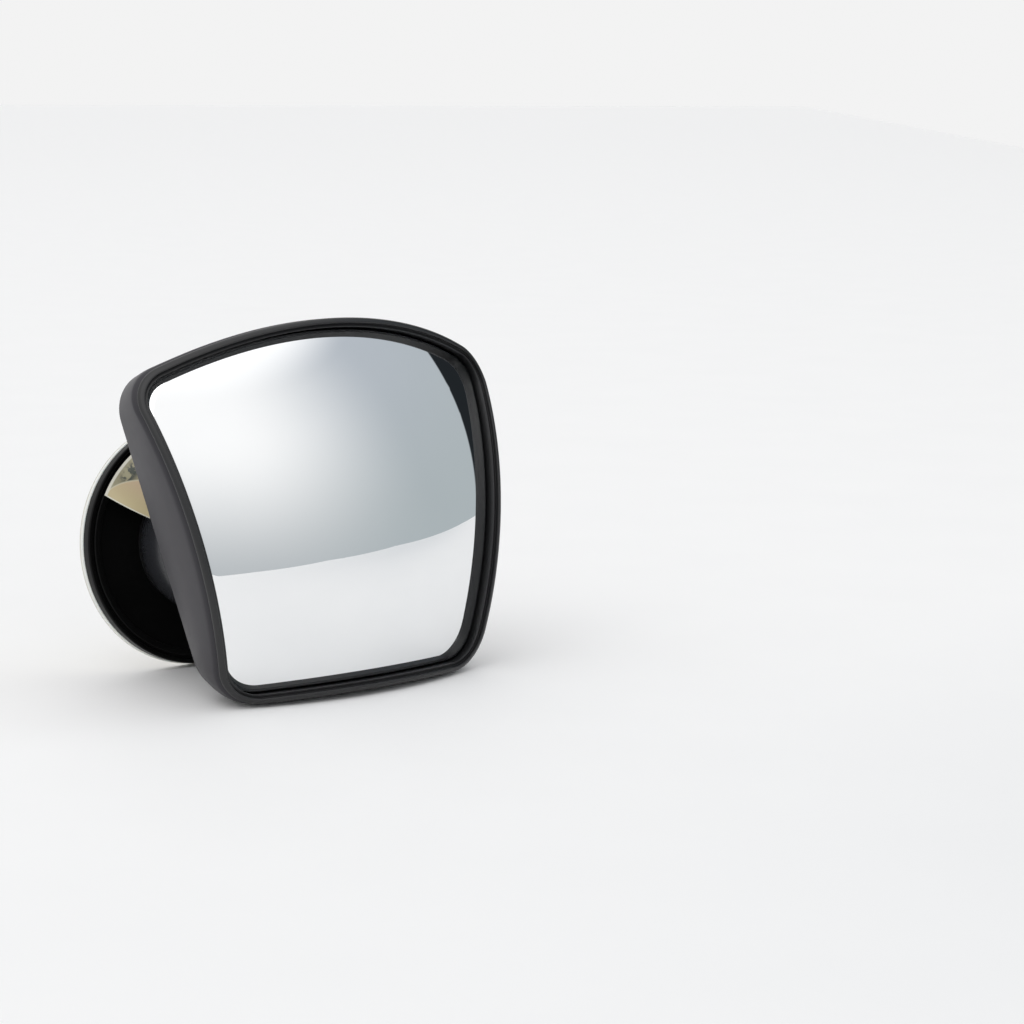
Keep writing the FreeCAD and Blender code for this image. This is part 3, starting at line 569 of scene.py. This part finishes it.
# %% Base disc, foam pad and liner
disc_section = rounded(
    [
        (5.6, 1.5, 0.0), (5.6, 0.0, 0.1), (25.5, 0.0, 0.15), (25.5, 2.2, 0.3), (24.6, 2.2, 0.22),
        (24.6, 1.3, 0.05), (24.0, 1.3, 0.05), (24.0, 2.0, 0.3), (22.5, 2.0, 0.3), (22.5, 1.1, 0.25),
        (8.4, 1.1, 0.05), (8.4, 3.05, 0.1), (5.6, 3.05, 0.1), (5.6, 1.5, 0.0),
    ]
)
disc = Skin().add(circles(disc_section[:-1], 240), round_trip=True)
disc.piece("disc_skin", BASE, (base_black,), "base", ("base_disc",), "base_disc", sharp=50)

foam_section = rounded([(24.6, -0.02, 0.0), (25.68, -0.02, 0.2), (25.68, -1.08, 0.2), (24.6, -1.08, 0.0)])
foam_loops = circles([(0.5, -0.02), *foam_section, (0.5, -1.08)], 200)

# %% [markdown]
# The pad is cut from closed-cell foam tape. Its edge is a pale, slightly torn wall with pores, and a
# paper liner still covers the glue. Both are the size of the disc, so little more than a line shows.

# %% Foam and liner finishes
def foam():
    material, recipe, surface, where = finish("foam_cream", Subsurface_Weight=0.1)
    pores = recipe.noise(where, 2600.0, 3.0, 0.7)
    drift = recipe.noise(where, 300.0, 2.0)
    recipe.put(surface.inputs["Base Color"], recipe.mix(pores, (0.80, 0.785, 0.72), (0.92, 0.91, 0.86)))
    recipe.put(surface.inputs["Roughness"], drift * 0.1 + 0.8)
    bump = recipe.node("Bump", None, Height=pores, Distance=0.0001, Strength=0.7)
    recipe.put(surface.inputs["Normal"], bump.outputs["Normal"])
    return material


foam_cream = foam()
liner_paper = plastic("liner_paper", (0.72, 0.70, 0.62), 0.55, grain=0.0003)
foam_piece = Skin().add(foam_loops, first_closed=True, last_closed=True)
foam_piece.piece("foam_skin", BASE, (foam_cream,), "base", ("foam_pad",), "foam_pad")
liner_loops = circles([(0.5, -1.11), (24.6, -1.11), (25.66, -1.12), (25.66, -1.24), (24.6, -1.25), (0.5, -1.25)], 200)
liner = Skin().add(liner_loops, first_closed=True, last_closed=True)
liner.piece("liner_skin", BASE, (liner_paper,), "base", ("release_liner",), "release_liner")

# %% [markdown]
# ## The film label
# A thin printed film stands on the inner ring and leans on the dome. It is a sector of a cone with a
# straight cut lower edge, and a film never lies quite flat, so it gets a slight wave.

# %% Film label
def film_point(turn, share, lift):
    angle = math.radians(turn)
    wave = 0.12 * math.sin(share * 3.1) * math.sin(turn * 0.21)
    reach = 23.9 - 8.55 * share + lift * 0.56 + wave * 0.56
    height = 2.16 + 5.7 * share + lift * 0.83 + wave * 0.83
    return (reach * math.cos(angle), reach * math.sin(angle), height)


shares = np.linspace(0, 1, 9)
rows = []
for step in np.linspace(0, 1, 40):
    low = [film_point(107.5 + (43.0 + 5.0 * share) * step, share, 0.0) for share in shares]
    high = [film_point(107.5 + (43.0 + 5.0 * share) * step, share, 0.12) for share in shares[::-1]]
    rows.append(low + high)

# %% [markdown]
# The print is a pale outline, a warm tan band that turns pinkish to the right, and a grey-green
# field with darker upright smudges. Its bands follow the circle of the base, so the recipe first
# works out how far a place lies from the base's axis and at what angle.

# %% Film print
def film_print():
    material, recipe, surface, where = finish("printed_film", Coat_Weight=0.35, Coat_Roughness=0.1)
    middle = tuple(BASE.translation)
    across = recipe.along(where, tuple(ACROSS), middle) / MM
    up = recipe.along(where, tuple(UP), middle) / MM
    reach = (across * across + up * up).maths("SQRT")
    turn = up.maths("ARCTAN2", across) * (180 / math.pi)
    smudge = recipe.noise(where, 620.0, 3.0)
    inward = (23.9 - reach) / 8.55
    hill = 151.5 - (inward + 0.01).maths("POWER", 0.62) * 27.0 - turn
    warm = recipe.mix(turn.between(152, 128), (0.64, 0.54, 0.31), (0.66, 0.49, 0.34))
    field = recipe.mix(smudge.between(0.35, 0.65), (0.42, 0.39, 0.25), (0.33, 0.30, 0.19))
    patch = inward.between(0.08, 0.16) * (1 - inward.between(0.30, 0.42))
    patch = patch * turn.maths("SUBTRACT", 0.0).between(142.0, 137.0) * smudge.between(0.44, 0.54)
    field = recipe.mix(patch, field, (0.075, 0.085, 0.07))
    colour = recipe.mix(hill.between(0.25, -0.25), field, warm)
    ridge = hill.between(-0.9, -0.3) * hill.between(0.9, 0.3)
    colour = recipe.mix(ridge * 0.7, colour, (0.72, 0.66, 0.50))
    lower_edge = (turn - (23.9 - reach) * 0.58).between(149.6, 150.1)
    outline = reach.between(23.35, 23.6).maths("MAXIMUM", lower_edge)
    colour = recipe.mix(outline, colour, (0.80, 0.77, 0.66))
    recipe.put(surface.inputs["Base Color"], colour)
    recipe.put(surface.inputs["Roughness"], smudge * 0.1 + 0.35)
    return material


film = Skin().add(rows, first_closed=True, last_closed=True)
film.piece("film_skin", BASE, (film_print(),), "base", ("film_label",), "film_label")

# %% [markdown]
# ## Metal parts of the joint
# Springs, bolt, nut, washers and screws are plated steel, turned or stamped, so they show fine
# scratches and an uneven gloss. The mechanical model already has their shape.

# %% Metal finish and the pieces that keep their mechanical shape
def steel(name, colour, gloss):
    material, recipe, surface, where = finish(name, Metallic=1.0)
    stretched = recipe.node("Mapping", None, Vector=where, Scale=(1.0, 1.0, 9.0)).outputs["Vector"]
    scratch = recipe.noise(stretched, 900.0, 4.0, 0.6)
    stain = recipe.noise(where, 130.0, 4.0)
    shade = recipe.mix(stain.between(0.35, 0.7), colour, tuple(c * 0.72 for c in colour))
    recipe.put(surface.inputs["Base Color"], shade)
    recipe.put(surface.inputs["Roughness"], stain * 0.12 + scratch * 0.1 + gloss)
    bump = recipe.node("Bump", None, Height=scratch, Distance=0.00001, Strength=0.5)
    recipe.put(surface.inputs["Normal"], bump.outputs["Normal"])
    return material


zinc = steel("zinc_plate", (0.66, 0.67, 0.68), 0.22)
spring_steel = steel("spring_steel", (0.42, 0.40, 0.37), 0.26)
dark_screw = steel("black_oxide", (0.10, 0.10, 0.11), 0.3)
kept = {
    "turret_dome": dome_black, "glass_pad": pad_black,
    "housing_screws": dark_screw, "retainer_screws": zinc, "turret_retainer": zinc, "pivot_bolt": zinc,
    "lock_nut": zinc, "thrust_washer": zinc, "spring_washer": zinc, "disc_springs": spring_steel,
    "friction_saddle": glide_grey, "friction_ring": pad_black, "pivot_bushing": bush_white,
    "glide_ring": rim_black,
}
for name, material in kept.items():
    node = frame["nodes"][name]
    node.data.materials.clear()
    node.data.materials.append(material)
print("kept as modelled:", sorted(kept))

# %% [markdown]
# ## The room
# A mirror shows the room, so the room is part of the picture. The glass sees a softbox-bright side
# on the left, a duller wall to the right, a dark strip far right and the pale table below. The room is
# painted as a function of direction: how far round it is from the front, and how high.

# %% Room seen by the glass
world = bpy.data.worlds.new("room")
world.use_nodes = True
bpy.context.scene.world = world
room = Recipe(world.node_tree)
ray = room.node("TexCoord").outputs["Generated"]
east, south, height = (room.along(ray, axis) for axis in ((1, 0, 0), (0, -1, 0), (0, 0, 1)))
round_from_front = east.maths("ARCTAN2", south) * (180 / math.pi)
climb = height.maths("ARCSINE") * (180 / math.pi)
bright_side = climb.between(-14, 34)
left = room.mix(bright_side, (0.50, 0.53, 0.55), (1.06, 1.06, 1.06))
right = room.mix(climb.between(0, 50), (0.44, 0.49, 0.51), (0.50, 0.54, 0.59))
turned_right = round_from_front.between(-10, 62)
wall = room.mix(turned_right, left, right)
strip_edge = round_from_front - climb * 0.35
strip = strip_edge.between(83.5, 84.5) * (1 - round_from_front.between(121, 126)) * climb.between(-4, -2.5)
wall = room.mix(strip, wall, (0.016, 0.019, 0.022))
behind = (round_from_front.maths("ABSOLUTE")).between(119, 129)
wall = room.mix(behind, wall, (0.895, 0.895, 0.895))
wall = room.mix(climb.between(45, 62), wall, (1.25, 1.25, 1.26))
background = room.node("Background", None, Color=wall, Strength=1.0)
output = room.node("OutputWorld")
room.put(output.inputs["Surface"], background.outputs["Background"])

# %% [markdown]
# The table is a pale board, darkened by painted shade in front of the object and towards the right.
# Its front edge is not straight, because the glass shows it as a curve below the wall. It runs far
# back, so that behind the object it melts into the backdrop.

# %% Table
front_edge = [
    (-3.0, 0.9), (-0.8, 0.25), (-0.4, 0.0), (-0.15, -0.16), (-0.045, -0.24), (0.08, -0.30), (0.26, -0.30),
    (0.48, -0.15), (0.70, 0.10), (3.0, 2.0),
]
board = bmesh.new()
near = [board.verts.new((x, y, 0)) for x, y in front_edge]
far = [board.verts.new((x * 20, 60.0, 0)) for x, y in front_edge]
for k in range(len(near) - 1):
    board.faces.new((near[k], near[k + 1], far[k + 1], far[k]))
board_data = bpy.data.meshes.new("table_top")
board.to_mesh(board_data)
board.free()
table = bpy.data.objects.new("table_top", board_data)
bpy.context.scene.collection.objects.link(table)
pale_board, recipe, surface, where = finish("pale_board", Specular_IOR_Level=0.2)
dust = recipe.noise(where, 30.0, 4.0)
# Painted shade: the board's colour darkens in front of the object and towards the right.
painted_shade_right = recipe.along(where, (1, 0, 0)).between(-0.16, 0.26)
painted_shade_front = recipe.along(where, (0, -1, 0)).between(0.03, 0.24)
board_colour = recipe.mix(dust, (0.900, 0.898, 0.896), (0.925, 0.922, 0.918))
board_colour = recipe.mix(painted_shade_front * 0.12 + painted_shade_front * painted_shade_right * 0.8, board_colour, (0.755, 0.765, 0.775))
recipe.put(surface.inputs["Base Color"], board_colour)
recipe.put(surface.inputs["Roughness"], dust * 0.1 + 0.6)
board_data.materials.append(pale_board)

# %% [markdown]
# One big soft lamp stands high on the left. It draws the long highlights on the rim and the shell and
# grounds the object with a soft shadow.

# %% Lamp and camera
lamp_data = bpy.data.lights.new("softbox", "AREA")
lamp_data.shape = "RECTANGLE"
lamp_data.size = 2.6
lamp_data.size_y = 2.2
lamp_data.energy = 16.0
lamp = bpy.data.objects.new("softbox", lamp_data)
bpy.context.scene.collection.objects.link(lamp)
lamp.location = (-2.4, -1.2, 3.4)
lamp.rotation_euler = (Vector((0, 0, 0.03)) - lamp.location).to_track_quat("-Z", "Y").to_euler()

eye = HEAD @ Vector((-281.4, 32.5, 407.6))
turn_head = HEAD.to_3x3() * (1 / MM)
ahead = (turn_head @ Vector((0.61205, -0.0646, -0.78818))).normalized()
side = (turn_head @ Vector((0.78478, -0.07338, 0.61542))).normalized()
top = side.cross(ahead)
camera_data = bpy.data.cameras.new("camera")
camera_data.sensor_width = 36.0
camera_data.lens = 87.9
camera_data.clip_start = 0.01
camera = bpy.data.objects.new("camera", camera_data)
bpy.context.scene.collection.objects.link(camera)
camera.matrix_world = Matrix.Translation(eye) @ Matrix((side, top, -ahead)).transposed().to_4x4()
bpy.context.scene.camera = camera
bpy.context.scene.view_settings.view_transform = "Standard"
print("camera stands at", [round(value, 4) for value in eye])
